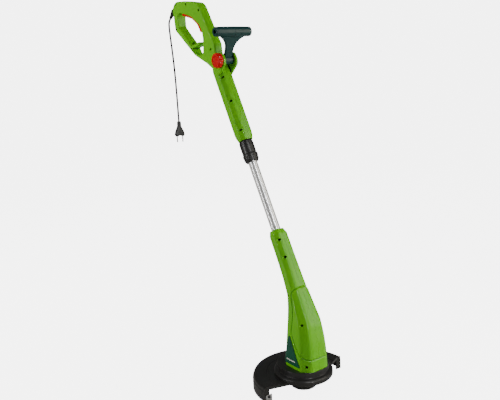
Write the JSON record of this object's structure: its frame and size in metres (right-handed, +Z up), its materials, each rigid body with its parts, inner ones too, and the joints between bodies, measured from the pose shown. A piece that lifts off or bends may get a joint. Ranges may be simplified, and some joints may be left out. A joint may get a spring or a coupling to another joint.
{
  "type": "string trimmer",
  "caption": "Corded string trimmer: D-handle with trigger, tilting front handle, telescopic tube, motor head, half guard and a bump-feed spool.",
  "frame": {"origin": "middle of the rear handle's top bar, where the hand holds the tool", "axes": "+X forward from the user, +Y to the user's left, +Z up along the spool's axis"},
  "size_m": [0.6897, 0.284, 1.0845],
  "materials": {
    "lime_plastic": "glossy lime green moulded plastic",
    "teal_plastic": "satin dark teal moulded plastic",
    "red_plastic": "glossy red moulded plastic",
    "black_plastic": "satin black moulded plastic",
    "rubber": "matt black rubber",
    "aluminium": "drawn bright aluminium",
    "steel": "zinc-plated steel",
    "copper": "copper windings and segments",
    "carbon": "pressed carbon",
    "nylon": "orange nylon"
  },
  "bodies": {
    "handle": {"upper_housing_right": "lime_plastic", "upper_housing_left": "lime_plastic", "handle_screw_front": "steel", "handle_screw_top": "steel", "handle_screw_rear_top": "steel", "handle_screw_rear_low": "steel", "handle_screw_hook": "steel", "handle_screw_trunk": "steel", "sleeve_screw_upper": "steel", "sleeve_screw_middle": "steel", "sleeve_screw_lower": "steel", "strain_relief": "rubber", "power_cord": "rubber", "plug_body": "black_plastic", "plug_pin_1": "steel", "plug_pin_2": "steel", "trigger_pin": "steel", "trigger_spring": "steel", "switch_body": "black_plastic", "switch_lead": "rubber", "pivot_bolt": "steel", "guide_bush": "nylon"},
    "trigger": {"trigger": "red_plastic"},
    "plunger": {"switch_plunger": "nylon"},
    "front_handle": {"front_handle": "teal_plastic"},
    "knob": {"clamp_knob": "red_plastic"},
    "collar": {"lock_collar": "black_plastic"},
    "lower": {"inner_tube": "aluminium", "motor_lead": "rubber", "lower_housing_right": "lime_plastic", "lower_housing_left": "lime_plastic", "housing_screw_neck_top": "steel", "housing_screw_neck_low": "steel", "housing_screw_body_rear": "steel", "housing_screw_body_low": "steel", "housing_screw_body_front": "steel", "housing_screw_base": "steel", "badge_right": "teal_plastic", "badge_left": "teal_plastic", "guard": "black_plastic", "line_cutter": "steel", "cutter_screw": "steel", "motor_mount": "black_plastic", "motor_can": "steel", "upper_bearing": "steel", "lower_bearing": "steel", "brush_right": "carbon", "brush_left": "carbon"},
    "rotor": {"spool_housing": "black_plastic", "line_spool": "black_plastic", "line_winding": "nylon", "armature_shaft": "steel", "armature_core": "copper", "commutator": "copper", "cooling_fan": "nylon"},
    "bump": {"bump_button": "black_plastic"}
  },
  "joints": [
    {"name": "trigger_pull", "type": "hinge", "parent": "handle", "child": "trigger", "pos_m": [-0.038, 0, -0.001], "axis": [0, -1, 0], "range_deg": [0, 4.5], "stiffness_Nm_per_rad": 2, "springref_deg": -4.58, "deforming": ["trigger_spring"]},
    {"name": "plunger_press", "type": "slide", "parent": "handle", "child": "plunger", "axis": [0, 0, 1], "range_m": [0, 0.0047]},
    {"name": "front_handle_tilt", "type": "hinge", "parent": "handle", "child": "front_handle", "pos_m": [0.17083, 0, -0.15653], "axis": [0, 1, 0], "range_deg": [-25, 60]},
    {"name": "knob_turn", "type": "hinge", "parent": "handle", "child": "knob", "pos_m": [0.17083, 0, -0.15653], "axis": [0, -1, 0], "range_deg": [0, 360]},
    {"name": "collar_twist", "type": "hinge", "parent": "handle", "child": "collar", "pos_m": [0.25598, 0, -0.41322], "axis": [-0.4617, 0, 0.887], "range_deg": [0, 90]},
    {"name": "tube_slide", "type": "slide", "parent": "handle", "child": "lower", "axis": [-0.4617, 0, 0.887], "range_m": [0, 0.19]},
    {"name": "rotor_spin", "type": "hinge", "parent": "lower", "child": "rotor", "pos_m": [0.462, 0, -1.012], "axis": [0, 0, 1], "continuous": true},
    {"name": "bump_press", "type": "slide", "parent": "rotor", "child": "bump", "axis": [0, 0, 1], "range_m": [0, 0.004], "stiffness_N_per_m": 600, "springref_m": -0.004}
  ],
  "couplings": [
    {"joint": "plunger_press", "follows": "trigger_pull", "m_per_rad": 0.058}
  ]
}
